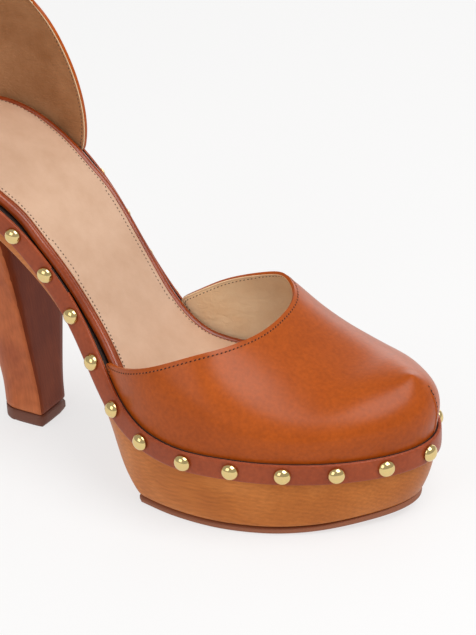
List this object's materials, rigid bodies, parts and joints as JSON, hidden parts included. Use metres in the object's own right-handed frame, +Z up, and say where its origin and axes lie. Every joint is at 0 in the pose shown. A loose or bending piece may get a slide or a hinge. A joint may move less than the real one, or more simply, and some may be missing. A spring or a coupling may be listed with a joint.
{
  "type": "platform pump",
  "caption": "Right women's platform pump with a closed toe, open sides, high heel cup, studded leather band and carved wooden sole and heel.",
  "frame": {"origin": "centre of the heel tip's flat underside, on the floor", "axes": "+X along the shoe to the toe, +Y to the inner side of the right foot, +Z up from the floor"},
  "size_m": [0.2238, 0.0958, 0.187],
  "materials": {
    "honey_wood": "satin varnished",
    "heel_wood": "satin varnished",
    "dark_rubber": "matte",
    "band_leather": "semi matte with a raw cut edge",
    "rolled_edge_leather": "polished rolled edge",
    "sock_leather": "smooth matte",
    "tan_calf": "smooth polished calf",
    "pale_brass": "polished"
  },
  "bodies": {
    "root": {"wood_sole": "honey_wood", "heel_block": "heel_wood", "heel_top_piece": "dark_rubber", "outsole": "dark_rubber", "rand_band": "band_leather", "footbed": "rolled_edge_leather", "sock": "sock_leather", "vamp": "tan_calf", "heel_counter": "tan_calf", "stud_01": "pale_brass", "stud_02": "pale_brass", "stud_03": "pale_brass", "stud_04": "pale_brass", "stud_05": "pale_brass", "stud_06": "pale_brass", "stud_07": "pale_brass", "stud_08": "pale_brass", "stud_09": "pale_brass", "stud_10": "pale_brass", "stud_11": "pale_brass", "stud_12": "pale_brass", "stud_13": "pale_brass", "stud_14": "pale_brass", "stud_15": "pale_brass", "stud_16": "pale_brass", "stud_17": "pale_brass", "stud_18": "pale_brass", "stud_19": "pale_brass", "stud_20": "pale_brass", "stud_21": "pale_brass", "stud_22": "pale_brass", "stud_23": "pale_brass", "stud_24": "pale_brass", "stud_25": "pale_brass", "stud_26": "pale_brass", "stud_27": "pale_brass", "stud_28": "pale_brass", "stud_29": "pale_brass", "stud_30": "pale_brass", "stud_31": "pale_brass"}
  },
  "joints": []
}
